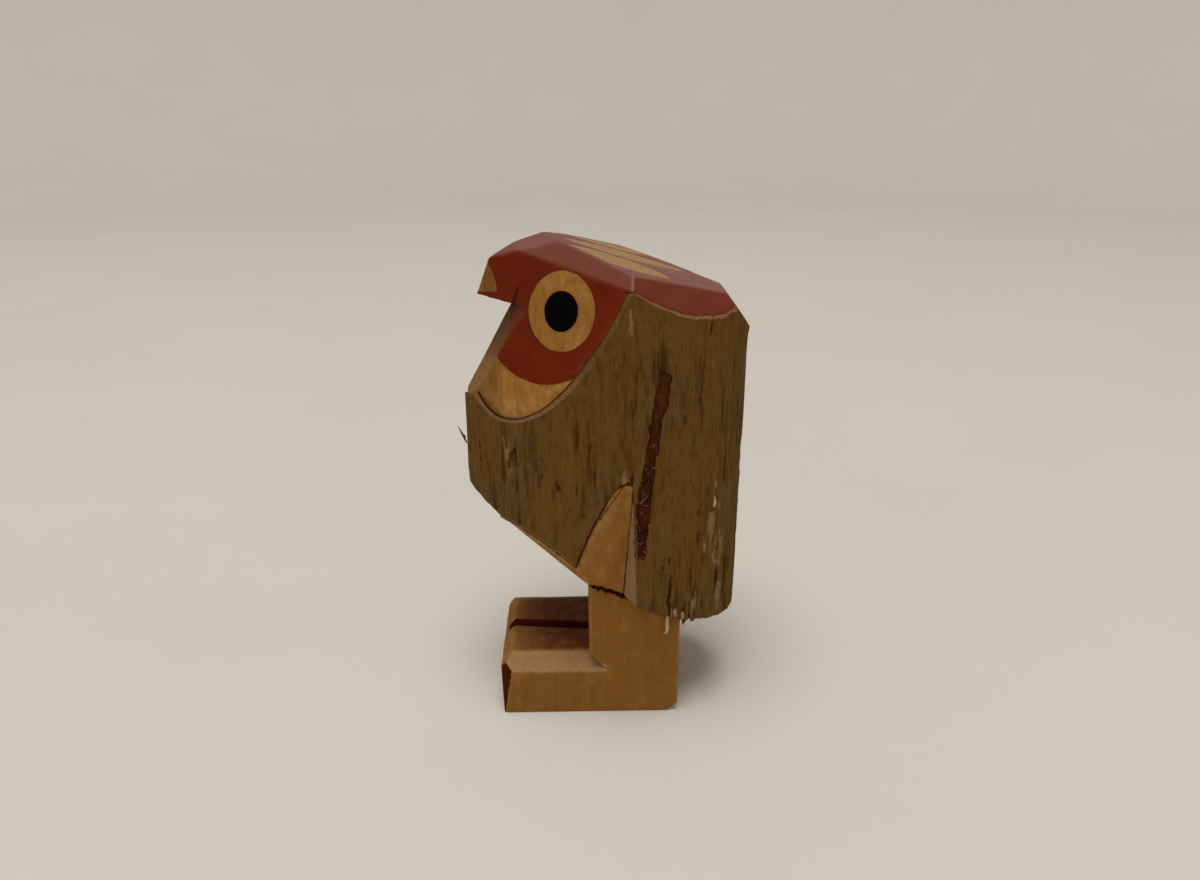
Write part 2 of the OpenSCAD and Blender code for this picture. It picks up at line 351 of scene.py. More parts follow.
# ---------------- materials
class Nodes:
    """A short way to write a node tree."""

    def __init__(self, name):
        self.mat = bpy.data.materials.new(name)
        self.mat.use_nodes = True
        self.tree = self.mat.node_tree
        self.bsdf = self.tree.nodes["Principled BSDF"]

    def add(self, kind, props=None, **inputs):
        node = self.tree.nodes.new("ShaderNode" + kind)
        for key, value in (props or {}).items():
            setattr(node, key, value)
        for key, value in inputs.items():
            self.put(node, key.replace("_", " "), value)
        return node

    def put(self, node, key, value):
        socket = node.inputs[int(key[1:])] if key[0] == "i" and key[1:].isdigit() else node.inputs[key]
        if isinstance(value, bpy.types.NodeSocket):
            self.tree.links.new(value, socket)
        elif isinstance(value, tuple) and socket.type == "RGBA":
            socket.default_value = (*value, 1.0)
        else:
            socket.default_value = value

    def math(self, op, a, b=0.0, clamp=False):
        return self.add("Math", {"operation": op, "use_clamp": clamp}, i0=a, i1=b).outputs[0]

    def span(self, value, lo, hi, to_lo=0.0, to_hi=1.0):
        return self.add("MapRange", {"interpolation_type": "SMOOTHSTEP"},
                        i0=value, i1=lo, i2=hi, i3=to_lo, i4=to_hi).outputs[0]

    def mix(self, fac, a, b, blend="MIX"):
        n = self.add("Mix", {"data_type": "RGBA", "blend_type": blend})
        self.put(n, "i0", fac)
        self.put(n, "i6", a)
        self.put(n, "i7", b)
        return n.outputs[2]

    def over(self, colour, mask, amount, top):
        """Colour with top laid over it by mask times amount."""
        return self.mix(self.math("MULTIPLY", mask, amount), colour, top)

    def mm(self, scale=(1, 1, 1), turn=(0, 0, 0), at=(0, 0, 0)):
        """Object coordinates in millimetres, stretched by scale."""
        coord = self.add("TexCoord").outputs["Object"]
        m = self.add("Mapping", {"vector_type": "POINT"}, Vector=coord)
        m.inputs["Scale"].default_value = tuple(s * 1000 for s in scale)
        m.inputs["Rotation"].default_value = tuple(math.radians(t) for t in turn)
        m.inputs["Location"].default_value = at
        return m.outputs[0]

    def noise(self, scale, detail=4.0, rough=0.55, turn=(0, 0, 0), at=(0, 0, 0), distortion=0.0):
        n = self.add("TexNoise", Vector=self.mm(scale, turn, at), Scale=1.0, Detail=detail,
                     Roughness=rough, Distortion=distortion)
        return n.outputs["Fac"]

    def attr(self, name):
        return self.add("Attribute", {"attribute_name": name}).outputs["Fac"]

    def bump(self, height, strength, distance_mm, normal=None):
        n = self.add("Bump", Height=height, Strength=strength, Distance=distance_mm * MM)
        if normal is not None:
            self.tree.links.new(normal, n.inputs["Normal"])
        return n.outputs[0]

    def finish(self, color, roughness, normal=None, specular=0.4, **fixed):
        self.put(self.bsdf, "Base Color", color)
        self.put(self.bsdf, "Roughness", roughness)
        self.bsdf.inputs["Specular IOR Level"].default_value = specular
        if normal is not None:
            self.put(self.bsdf, "Normal", normal)
        for key, value in fixed.items():
            self.bsdf.inputs[key.replace("_", " ")].default_value = value
        return self.mat


def wood_colour(m, light, dark, streak, ring_centre, seed, grain=1.0):
    """Grain of a small branch: rings round its pith, fibres along Z."""
    wob = m.noise((0.09, 0.09, 0.015), 3.0, 0.5, at=(seed, 0, 0))
    sep = m.add("SeparateXYZ", Vector=m.mm((1, 1, 1), at=(-ring_centre[0], -ring_centre[1], 0)))
    r2 = m.math("ADD", m.math("MULTIPLY", sep.outputs[0], sep.outputs[0]),
                m.math("MULTIPLY", sep.outputs[1], sep.outputs[1]))
    r = m.math("ADD", m.math("SQRT", r2), m.math("MULTIPLY", wob, 9.0))
    rings = m.math("FRACT", m.math("MULTIPLY", r, 0.42))
    late = m.math("MULTIPLY", m.span(rings, 0.35, 0.9), m.span(rings, 1.0, 0.93))
    fibre = m.noise((1.6, 1.6, 0.05), 5.0, 0.62, at=(0, seed, 0))
    fine = m.noise((6.0, 6.0, 0.3), 3.0, 0.6, at=(seed, 3, 0))
    broad = m.noise((0.12, 0.12, 0.04), 2.0, 0.5, at=(seed, 9, 2))
    fac = m.math("ADD", m.math("MULTIPLY", m.span(fibre, 0.32, 0.72), 0.45),
                 m.math("MULTIPLY", late, 0.28))
    fac = m.math("ADD", fac, m.math("MULTIPLY", m.span(fine, 0.35, 0.7), 0.22))
    fac = m.math("ADD", m.math("MULTIPLY", fac, grain), 0.45 * (1 - grain), clamp=True)
    c = m.mix(fac, light, dark)
    c = m.over(c, m.span(broad, 0.4, 0.68), 0.5, streak)
    height = m.math("ADD", m.math("MULTIPLY", fibre, 0.7), m.math("MULTIPLY", fine, 0.3))
    return c, height


def wood_material(name, light, dark, streak, ring_centre, seed, edge_light, grain=1.0):
    m = Nodes(name)
    c, height = wood_colour(m, light, dark, streak, ring_centre, seed, grain)
    pores = m.span(m.noise((9, 9, 0.7), 2.0, 0.5, at=(2, seed, 1)), 0.66, 0.74)
    c = m.over(c, pores, 0.35, tuple(v * 0.35 for v in dark))
    worn = m.span(m.attr("edge"), 0.75, 0.1)
    worn = m.math("MULTIPLY", worn, m.span(m.noise((0.5, 0.5, 0.5), 3.0), 0.35, 0.6))
    c = m.over(c, worn, 0.55, edge_light)
    # lighter where pale is set: pale wood on the thigh strip and throat, painted sheen on the crown stripes,
    # a painted highlight on the feet's bevels
    c = m.over(c, m.attr("pale"), 0.85, m.mix(m.span(height, 0.3, 0.7), PALE_LIGHT, PALE_DARK))
    # dark red stain, which on the feet's tops also stands for painted shadow under the body
    c = m.over(c, m.attr("stain_and_shadow"), 0.9, (0.085, 0.013, 0.006))
    soil = m.span(m.noise((0.22, 0.22, 0.1), 5.0, 0.65, at=(seed, 4, 4)), 0.52, 0.75)
    c = m.over(c, soil, 0.35, tuple(v * 0.6 for v in dark))
    smudge = m.span(m.noise((0.3, 0.3, 0.16), 4.0, 0.6, turn=(0, 20, 0), at=(seed, 7, 3)), 0.5, 0.3)
    c = m.over(c, smudge, 0.3, edge_light)
    c = m.over(c, m.attr("shade"), 0.85, tuple(v * 0.35 for v in dark))
    # painted shadow: a dark line along the thigh's crease and the bark's lip above the thigh facet
    c = m.over(c, m.span(m.attr("line"), 0.28, 0.10), 0.92, (0.045, 0.010, 0.004))
    strokes = m.noise((0.35, 0.35, 2.2), 3.0, 0.5, turn=(25, 15, 40), at=(seed, 1, 7))
    nrm = m.bump(height, 0.5, 0.12)
    nrm = m.bump(strokes, 0.35, 0.25, nrm)
    rough = m.span(height, 0.3, 0.8, 0.5, 0.72)
    return m.finish(c, rough, nrm, specular=0.07)


def paint_material(name, base, deep, wear_and_highlight_colour, seed, gloss=(0.45, 0.62), wear=0.07, specular=0.07,
                   sheen_colour=(0.280, 0.150, 0.128)):
    m = Nodes(name)
    brush = m.noise((0.5, 0.5, 3.0), 4.0, 0.6, turn=(35, 0, 20), at=(seed, 0, 0))
    cloud = m.noise((0.13, 0.13, 0.13), 4.0, 0.6, at=(0, seed, 0))
    fibre = m.noise((2.2, 2.2, 0.09), 4.0, 0.6, at=(seed, 2, 0))
    c = m.mix(m.math("MULTIPLY", m.span(cloud, 0.35, 0.7), 0.6), base, deep)
    c = m.over(c, m.span(brush, 0.42, 0.72), 0.22, tuple(min(1, v * 1.6) for v in base))
    c = m.over(c, m.span(fibre, 0.56, 0.75), 0.3, deep)
    rub = m.span(m.attr("edge"), 0.42, 0.05)
    rub = m.math("MULTIPLY", rub, m.span(m.noise((0.7, 0.7, 0.7), 4.0, 0.6, at=(seed, 5, 5)), 0.38, 0.6))
    c = m.over(c, rub, wear, wear_and_highlight_colour)
    speck = m.span(m.noise((2.6, 2.6, 2.6), 2.0, 0.5, at=(seed, 8, 1)), 0.73, 0.78)
    c = m.over(c, speck, 0.35, wear_and_highlight_colour)
    # painted sheen: facets that face up are mixed toward a lighter, pinker colour
    c = m.over(c, m.attr("up_facing_sheen"), 0.55, sheen_colour)
    # painted highlight: a pale line along the ridge between the temple and poll facets
    crest = m.math("MULTIPLY", m.attr("creased"), m.span(m.attr("crest"), 0.26, 0.1))
    c = m.over(c, crest, 0.4, wear_and_highlight_colour)
    # painted shadow: very dark inside the knife nick in the beak's side, which the mesh does not cut
    nick_shadow = m.span(m.math("ABSOLUTE", m.attr("nick")), 0.34, 0.1)
    c = m.over(c, nick_shadow, 0.85, tuple(v * 0.12 for v in deep))
    nrm = m.bump(fibre, 0.3, 0.1)
    nrm = m.bump(brush, 0.25, 0.12, nrm)
    return m.finish(c, m.span(cloud, 0.3, 0.7, *gloss), nrm, specular=specular)


def bark_material():
    m = Nodes("bark_fibrous")
    hgt = m.attr("relief")
    depth = m.attr("depth")
    streak = m.noise((0.8, 0.8, 0.07), 6.0, 0.62, distortion=0.15)
    fine = m.noise((4.2, 4.2, 0.5), 5.0, 0.65, at=(4, 0, 0))
    patch = m.noise((0.10, 0.10, 0.05), 5.0, 0.6, at=(0, 3, 0), distortion=0.3)
    mottle = m.noise((0.5, 0.5, 0.22), 5.0, 0.66, at=(1, 1, 9), distortion=0.3)
    c = m.mix(m.span(patch, 0.40, 0.62), (0.130, 0.068, 0.0150), (0.148, 0.071, 0.013))
    grey = m.math("MULTIPLY", m.span(mottle, 0.42, 0.66), m.span(patch, 0.60, 0.36))
    c = m.over(c, grey, 0.6, (0.140, 0.088, 0.027))
    c = m.over(c, m.span(streak, 0.50, 0.30), 0.38, (0.060, 0.026, 0.004))
    c = m.over(c, m.span(streak, 0.54, 0.72), 0.38, (0.180, 0.104, 0.027))
    c = m.over(c, m.span(mottle, 0.48, 0.32), 0.5, (0.064, 0.031, 0.006))
    c = m.over(c, m.span(fine, 0.52, 0.70), 0.6, (0.045, 0.021, 0.004))
    c = m.over(c, m.span(fine, 0.45, 0.30), 0.45, (0.215, 0.130, 0.040))
    # painted shade in the bark's pits and painted highlight on its ridges, following the relief
    c = m.over(c, m.span(hgt, -0.15, -0.8), 0.75, (0.034, 0.014, 0.004))
    c = m.over(c, m.span(hgt, 0.25, 0.9), 0.3, (0.200, 0.120, 0.036))
    specks = m.span(m.noise((1.7, 1.7, 0.8), 4.0, 0.7, at=(7, 2, 2)), 0.66, 0.74)
    c = m.over(c, specks, 0.55, (0.035, 0.018, 0.006))
    scratch = m.span(m.noise((2.4, 2.4, 0.35), 3.0, 0.6, turn=(8, 5, 0), at=(3, 8, 1)), 0.70, 0.78)
    c = m.over(c, scratch, 0.5, (0.30, 0.19, 0.08))
    torn = m.mix(m.span(fine, 0.4, 0.65), (0.32, 0.205, 0.10), (0.15, 0.075, 0.022))
    c = m.over(c, m.attr("scar"), 0.85, torn)
    c = m.mix(m.attr("dark"), c, (0.045, 0.013, 0.006))
    cutc = m.mix(m.span(fine, 0.35, 0.7), (0.225, 0.125, 0.058), (0.155, 0.078, 0.028))
    cutc = m.mix(m.span(depth, 0.30, 0.38), cutc, (0.045, 0.010, 0.004))
    c = m.over(c, m.span(depth, 0.0, 0.03), m.attr("fresh"), cutc)
    c = m.over(c, m.span(depth, 0.38, 0.42), 0.8, (0.045, 0.010, 0.004))
    grit = m.math("ADD", m.math("MULTIPLY", fine, 0.6), m.math("MULTIPLY", mottle, 0.6))
    nrm = m.bump(streak, 0.5, 0.35)
    nrm = m.bump(grit, 1.0, 0.3, nrm)
    return m.finish(c, m.span(fine, 0.3, 0.8, 0.74, 0.92), nrm, specular=0.05)


# tones for the pale attribute: pale wood, and also the painted sheen and painted highlight it carries
PALE_LIGHT, PALE_DARK = (0.40, 0.26, 0.145), (0.32, 0.19, 0.100)
WOOD = wood_material("bare_wood", (0.362, 0.167, 0.036), (0.190, 0.074, 0.013), (0.28, 0.115, 0.020),
                     (1.5, 9.0), 3.0, (0.44, 0.24, 0.08))
LEG_WOOD = wood_material("leg_wood", (0.270, 0.122, 0.024), (0.175, 0.071, 0.012), (0.222, 0.092, 0.015),
                         (-4.0, 26.0), 11.0, (0.35, 0.180, 0.045), grain=0.5)
RED = paint_material("brick_red", (0.132, 0.0150, 0.0008), (0.098, 0.0100, 0.0005), (0.36, 0.17, 0.11), 5.0)
WINE = paint_material("wine_stain", (0.062, 0.0080, 0.0012), (0.034, 0.0045, 0.0008),
                      (0.20, 0.08, 0.03), 8.0, gloss=(0.5, 0.7), wear=0.2, specular=0.02)
GROOVE_STAIN = paint_material("groove_stain", (0.120, 0.036, 0.012), (0.052, 0.013, 0.005),
                              (0.26, 0.14, 0.065), 9.0, gloss=(0.6, 0.8), wear=0.6, specular=0.04)
SPLINTER = wood_material("torn_splinter", (0.62, 0.45, 0.25), (0.46, 0.31, 0.15), (0.55, 0.38, 0.20),
                         (1.5, 9.0), 4.0, (0.70, 0.55, 0.34), grain=0.6)
BLACK = paint_material("black_paint", (0.0008, 0.0008, 0.0009), (0.0005, 0.0005, 0.0005),
                       (0.006, 0.005, 0.004), 2.0, gloss=(0.5, 0.6), wear=0.2, specular=0.03)
BARK = bark_material()


# ---------------- the body
def body_cuts(x, y, z, sink=0.0):
    """Every cut that bounds the body, by name. The wood is where all are negative."""
    ax = soft_abs(x)
    sole = np.minimum(-cut(BEAK_SOLE, x, y, z), cut(THROAT, ax, y, z))
    thigh = np.minimum(cut(THIGH, ax + sink, y, z), cut(THIGH_STOP, ax + sink, y, z))
    return {
        "face": cut(FACE, ax, y, z), "brow_a": cut(BROW_A, ax, y, z), "brow_b": cut(BROW_B, ax, y, z),
        "temple": cut(TEMPLE, ax, y, z), "poll": cut(POLL, ax, y, z), "nape": cut(NAPE, x, y, z),
        "right_nape": cut(RIGHT_NAPE, x, y, z), "tail_end": cut(TAIL_END, x, y, z),
        "crown": crown_cut(x, y, z), "throat": np.where(z > 60, sole, -9), "thigh": thigh,
        "belly": cut(BELLY, x, y, z), "tail": cut(TAIL, x, y, z), "side": cut(BELLY_SIDE, ax, y, z),
    }


TOPS = ("brow_a", "brow_b", "temple", "poll", "nape", "right_nape", "crown")
THIGH_SINK = 0.4  # how much deeper the thigh cut is in the wood than in the bark
WOOD_GAP = 0.12
CROWN_SWELL = 0.42


def rest_of(d, *left_out):
    """The highest of the distances in d, leaving some out."""
    return np.max(np.stack([v for k, v in d.items() if k not in left_out]), 0)


def body_field(lo, hi, grow):
    xs, ys, zs = grid_axes(lo, hi)
    gx, gy = np.meshgrid(xs, ys, indexing="ij")
    col = column_sd(gx.ravel(), gy.ravel()).reshape(gx.shape).astype(np.float32) - grow
    x, y, z = xs[:, None, None], ys[None, :, None], zs[None, None, :]
    F = np.broadcast_to(col[:, :, None], (len(xs), len(ys), len(zs))).copy()
    for d in body_cuts(x, y, z, THIGH_SINK).values():
        F = both_max(F, np.broadcast_to(d.astype(np.float32), F.shape), np.float32(0.16))
    yz = np.stack(np.meshgrid(ys, zs, indexing="ij"), -1).reshape(-1, 2)
    if lo[2] < 60:
        poly = polygon_sd(GROOVE, yz[:, 0], yz[:, 1])
        p3 = np.stack([yz[:, 0] / 0.9, yz[:, 1] / 2.2, yz[:, 0] * 0], 1)
        poly = poly + 0.12 * noise(p3, 31) - 0.3 * smooth(64.0, 50.0, yz[:, 1])
        floor = GROOVE_FLOOR + 0.3 * fbm(p3 * 1.4, 2, 37)
        poly, floor = (q.reshape(len(ys), len(zs)).astype(np.float32) for q in (poly, floor))
        F = np.maximum(F, np.minimum(-poly[None], np.abs(x) - floor[None]))
    return F


def body_attributes(V, grow):
    """Each vertex's distances to the cuts, and to the nearest facet edge."""
    x, y, z = V.T
    d = body_cuts(x, y, z, THIGH_SINK)
    d["column"] = column_sd(x, y) - grow
    stack = np.sort(np.stack(list(d.values())), axis=0)
    return d, np.clip(stack[-1] - stack[-2], 0, 5)


def knife_waves(V, N):
    """The shallow waves that knife strokes leave on every flat."""
    slow = noise(V / np.array([5.0, 5.0, 7.0]), 41)
    x, y, z = V.T
    turned = np.stack([x * 0.8 + y * 0.5, y * 0.7 - z * 0.6, z * 0.6 + x * 0.5], 1)
    quick = noise(turned / np.array([2.2, 6.5, 2.6]), 43)
    return V + N * (WAVE_SLOW * slow + WAVE_QUICK * quick)[:, None]


def make_body():
    lo, hi = (-21.6, -29.0, 18.5), (21.6, 35.6, 109.6)
    V, Q = surface_nets(body_field(lo, hi, -WOOD_GAP), lo)
    T = triangles(Q)
    d, edge = body_attributes(V, -WOOD_GAP)
    V = knife_waves(V, normals(V, T))
    N = normals(V, T)
    ax, side = np.abs(V[:, 0]) + THIGH_SINK, np.sign(V[:, :1] + 1e-9)
    stop, thigh = cut(THIGH_STOP, ax, V[:, 1], V[:, 2]), cut(THIGH, ax, V[:, 1], V[:, 2])
    low = V[:, 2] < 64
    lifted = V + (BARK_T + 0.02) * N
    n = facing(THIGH[1], THIGH[2])
    slope = np.sqrt(np.maximum(1 - (N @ (n * [1, 0, 0]) * side[:, 0] + N @ (n * [0, 1, 1])) ** 2, 0.003))
    lx, ly, lz = np.abs(lifted[:, 0]), lifted[:, 1], lifted[:, 2]
    rim_at = cut(THIGH, lx, ly, lz) / slope
    on_log = (d["column"] > rest_of(d, "column") - 0.1) & (cut(THIGH_STOP, lx, ly, lz) > 0)
    rim_at = np.minimum(np.maximum(rim_at, 0), np.abs(polygon_sd(THIGH_TIP, V[:, 1], V[:, 2])) + 0.05)
    rim_at = np.where(on_log & (np.abs(V[:, 0]) > 12), rim_at, 9.0)
    strip = smooth(-0.25, -0.1, -np.abs(stop)) * smooth(0.1, 0.35, thigh)
    top = {k: smooth(-0.2, 0.0, d[k] - rest_of(d, k)) for k in ("throat", "crown")}
    A = {"edge": edge, "nick": np.full(len(V), 9.0), "stain_and_shadow": np.zeros(len(V)),
         # painted shadow line along the thigh's crease and along the bark rim above the thigh facet
         "line": np.where(low, np.minimum(1.2 * np.hypot(stop, thigh), rim_at), 9.0),
         # pale: the thigh's pale strip and the throat's pale wood, and the crown's bare stripes paled as
         # painted sheen
         "pale": np.maximum.reduce([strip * low, 0.35 * top["throat"], 0.95 * top["crown"]]),
         "shade": np.maximum.reduce([0.36 * low * smooth(-0.2, 0.0, thigh - 0.1),
                                     top["throat"] * smooth(75.0, 87.0, V[:, 2]),
                                     0.5 * smooth(-18.0, -20.0, V[:, 1])])}
    piece("carved_body", V, Q, A, WOOD, ("body_core",))
    return V, T, d, A


def film(name, V, T, A, f, lift, mat, node, extra=None):
    """A layer of paint: the part of a surface where f > 0, lifted, with its own edge."""
    A = {**A, **(extra or {})}
    A["_n0"], A["_n1"], A["_n2"] = normals(V, T).T
    V, T, A = clip(V, T, A, f)
    N = np.stack([A.pop("_n0"), A.pop("_n1"), A.pop("_n2")], 1)
    V = V + N * lift
    V, T, A = with_skirt(V, T, A, -N, (0.0, lift), -0.05 * N)
    return piece(name, V, T, A, mat, (node,))


def eye_frame():
    n = facing(-FACE_TURN, FACE_RISE)
    ex = (np.dot(BEAK_TIP, n) - n[1] * EYE_Y - n[2] * EYE_Z) / n[0]
    up = np.array([0, 0, 1.0]) - n * n[2]
    up /= np.linalg.norm(up)
    return np.array([ex, EYE_Y, EYE_Z]), np.cross(up, n), up


EYE, EYE_U, EYE_V = eye_frame()


def wobble(V, size, amount, seed):
    return amount * fbm(V / size, 3, seed)


def beak_bare(P):
    """Distance outside the bare patch at the beak's tip."""
    ring = np.hypot(P[:, 1] - BEAK_BARE[0], P[:, 2] - BEAK_BARE[1]) - BEAK_BARE[2]
    sole = BEAK_TIP[2] + 0.45 + 0.13 * (P[:, 1] - BEAK_TIP[1]) - P[:, 2]
    return np.maximum(ring, sole) + wobble(P, 1.5, 0.12, 55)


def face_films(V, T, d, A):
    others = rest_of(d, "face")
    for side, name in ((1, "left"), (-1, "right")):
        P = V * np.array([side, 1, 1])
        u, v = (P - EYE) @ EYE_U, (P - EYE) @ EYE_V
        r = np.hypot(u, v)
        ring = r - EYE_R + wobble(P, 2.6, 0.09, 51)
        cheek = np.maximum(v + 7.0, CHEEK_R - np.hypot(u - CHEEK_AT[0], v - CHEEK_AT[1]))
        cheek = cheek + wobble(P, 2.2, 0.14, 53)
        beak = beak_bare(P)
        on_face = d["face"] - others
        f = np.minimum.reduce([on_face + 0.3, ring, cheek, beak])
        rest = rest_of(d, "throat")
        notch = P[:, 2] - (93.4 - 0.76 * np.abs(P[:, 0])) + wobble(P, 1.2, 0.5, 57)
        f2 = np.minimum.reduce([d["throat"] - rest + 0.1, notch, beak + 1.0])
        f = np.minimum(np.maximum(f, f2), P[:, 0])
        nick = nick_distance(P)
        film("paint_face_" + name, V, T, A, f, FACE_LIFT, RED,
             name + "_face_paint", {"nick": nick})
        pupil = np.minimum(PUPIL_R - r + wobble(P, 1.6, 0.06, 59), P[:, 0])
        pupil = np.minimum(pupil, d["face"] + 1.0)
        film("pupil_" + name, V, T, A, pupil, TOP_LIFT, BLACK, name + "_pupil")


NICK_A, NICK_B = np.array([-14.6, 97.9]), np.array([-15.8, 93.9])


def nick_distance(P):
    """Distance from the knife nick in the side of the beak, signed across it."""
    e = NICK_B - NICK_A
    q = P[:, 1:3] - NICK_A
    t = q @ e / (e @ e)
    side = (q[:, 0] * e[1] - q[:, 1] * e[0]) / np.linalg.norm(e)
    out = np.maximum(np.maximum(-t, t - 1.15), 0) * 6
    grow = np.clip(1.25 - t, 0.3, 1.3)
    return np.sign(side + 1e-9) * (np.abs(side) * grow + out)


def crown_film():
    lo, hi = (-22.0, -29.0, 84.0), (22.0, 36.2, 109.6)
    V, Q = surface_nets(body_field(lo, hi, CROWN_SWELL), lo)
    T = triangles(Q)
    d, edge = body_attributes(V, CROWN_SWELL)
    tops = np.max(np.stack([d[k] for k in TOPS]), 0)
    rest = rest_of(d, "column", *TOPS)
    V = knife_waves(V, normals(V, T))
    f = np.minimum(tops - rest + 0.16, tops - d["column"] + wobble(V, 1.3, 0.3, 61) - 0.1)
    f = np.minimum(f, beak_bare(V))
    for (cx, cy), turn, length, width in STRIPES:
        t = math.radians(turn)
        u = (V[:, 0] - cx) * math.cos(t) + (V[:, 1] - cy) * math.sin(t)
        w = -(V[:, 0] - cx) * math.sin(t) + (V[:, 1] - cy) * math.cos(t)
        r = (length ** 2 + width ** 2) / (4 * width)
        leaf = r - np.hypot(np.abs(u) + r - width / 2, w) + wobble(V, 2.4, 0.22, 63)
        inner = d["crown"] - np.max(np.stack([d[k] for k in TOPS if k != "crown"]), 0)
        leaf = np.minimum(leaf, inner - 0.3 + wobble(V, 2.0, 0.12, 64))
        f = np.minimum(f, -leaf)
    A = {"edge": edge, "nick": np.full(len(V), 9.0), "creased": np.ones(len(V)),
         # painted sheen: the more a facet faces up, the lighter and pinker its paint
         "up_facing_sheen": smooth(0.52, 0.95, normals(V, T)[:, 2]),
         # distance from the temple/poll ridge, which places the painted highlight line
         "crest": np.maximum(np.abs(d["temple"] - d["poll"]), tops - np.minimum(d["temple"], d["poll"]))}
    film("paint_crown", V, T, A, f, TOP_LIFT, RED, "crown_paint")


def groove_films(V, T, A):
    for side, name in ((1, "left"), (-1, "right")):
        x = V[:, 0] * side
        poly = polygon_sd(GROOVE, V[:, 1], V[:, 2])
        f = np.minimum(0.9 - poly + wobble(V, 1.0, 0.25, 65), x - 15.0)
        film("groove_stain_" + name, V, T, A, f, STAIN_LIFT, GROOVE_STAIN,
             name + "_wing_groove_paint")


# ---------------- the bark
def bark_height(P):
    """Thickness of the bark and its relief from -1 to 1 at points on the log's outline."""
    slow = fbm(P / np.array([7.0, 7.0, 26.0]), 2, 71)
    ridge = fbm(P / np.array([1.9, 1.9, 17.0]), 3, 73)
    thread = fbm(P / np.array([0.55, 0.55, 6.0]), 2, 77)
    pits = smooth(0.55, 0.8, fbm(P / np.array([1.4, 1.4, 4.0]), 3, 79))
    flake = smooth(0.18, 0.3, fbm(P / np.array([3.6, 3.6, 12.0]), 4, 83))
    t = BARK_T + 0.16 * slow + 0.17 * ridge + 0.10 * thread - 0.25 * pits - 0.14 * flake
    relief = 0.7 * ridge + 0.6 * thread - 1.1 * pits - 0.3 * flake
    return t, relief


def slow_wave(P):
    return fbm(P / np.array([4.0, 4.0, 9.0]), 2, 75)


def spot(P, y, z, ry, rz, side, seed):
    """A ragged patch on one side of the log, 0 to 1."""
    r = np.hypot((P[:, 1] - y) / ry, (P[:, 2] - z) / rz)
    r = r + 2.3 * fbm(P / np.array([0.8, 0.8, 2.6]), 3, seed)
    torn = smooth(-0.5, -0.25, fbm(P / np.array([0.5, 0.5, 4.5]), 2, seed + 6))
    return smooth(1.05, 0.8, r) * torn * (P[:, 0] * side > 0)


def patches(P, table, seed):
    return np.max(np.stack([spot(P, *row, seed) for row in table]), 0)


def make_bark():
    cols, rows = RING_COUNT, 178
    z = np.linspace(18.2, 104.5, rows)
    base = np.repeat(RING[None], rows, 0).reshape(-1, 2)
    nrm = np.repeat(RING_N[None], rows, 0).reshape(-1, 2)
    P = np.column_stack([base, np.repeat(z, cols)])
    t, relief = bark_height(P)
    N3 = np.column_stack([nrm, np.zeros(len(P))])
    scar, dark = patches(P, SCARS, 91), patches(P, CRACKS, 93)
    t = t - 0.22 * scar - 0.3 * dark
    t = np.maximum(t, 0.14 + 0.05 * relief)
    ax = np.abs(P[:, 0] + N3[:, 0] * BARK_T)
    near_thigh = cut(THIGH_STOP, ax, P[:, 1], P[:, 2]) > -1.0
    thigh = np.where(near_thigh, np.abs(cut(THIGH, ax, P[:, 1], P[:, 2])), 9)
    calm = np.maximum(smooth(3.0, 0.6, -cut(FACE, np.abs(P[:, 0]), P[:, 1], P[:, 2])),
                      0.9 * smooth(0.8, 0.2, thigh) * (P[:, 2] < 64))
    t = t + calm * (BARK_T + 0.05 * slow_wave(P) - t)
    tops = np.maximum(cut(POLL, np.abs(P[:, 0]), P[:, 1], P[:, 2]), cut(NAPE, *P.T))
    t = t + 0.28 * smooth(2.4, 0.3, -tops) * (1 + 0.5 * slow_wave(P * 2.2))
    V = P + N3 * t[:, None]
    j, i = np.meshgrid(np.arange(rows - 1), np.arange(cols), indexing="ij")
    a = (j * cols + i).ravel()
    b = (j * cols + (i + 1) % cols).ravel()
    T = triangles(np.stack([a, b, b + cols, a + cols], 1))
    d = body_cuts(V[:, 0], V[:, 1], V[:, 2])
    fray = fbm(V / np.array([0.8, 0.8, 5.0]), 3, 95)
    for k, amount in RAGGED.items():
        d[k] = d[k] + amount * fray
    d["tail"] = d["tail"] + 0.05
    tip = polygon_sd(THIGH_TIP, V[:, 1], V[:, 2])
    d["thigh_tip"] = np.minimum(0.1 * fray - tip, np.abs(V[:, 0]) - 10)
    poly = polygon_sd(GROOVE, V[:, 1], V[:, 2])
    torn = fbm(V / np.array([0.5, 0.5, 1.6]), 3, 97)
    d["groove"] = np.minimum(0.05 - poly + 0.5 * fray + 0.5 * torn + 0.35 * smooth(64.0, 50.0, V[:, 2]),
                              np.abs(V[:, 0]) - 10)
    fresh = 1 - 0.85 * smooth(78.0, 84.0, V[:, 2]) * (d["face"] > np.maximum(d["poll"], d["temple"]) - 0.5)
    A = {"relief": relief, "scar": scar, "dark": dark, "fresh": fresh}
    A["_t"] = t
    for k in range(3):
        A[f"_n{k}"] = N3[:, k]
    V, T, A = clip(V, T, A, -rest_of(d))
    N = np.stack([A.pop(f"_n{k}") for k in range(3)], 1)
    t = A.pop("_t")
    inward, dive = cut_inward(V, N, t)
    V, T, A = with_skirt(V, T, A, inward, (0.0, 0.12, 0.28, 0.4, 0.45), dive)
    return piece("bark", V, T, A, BARK, ("bark_skin",))


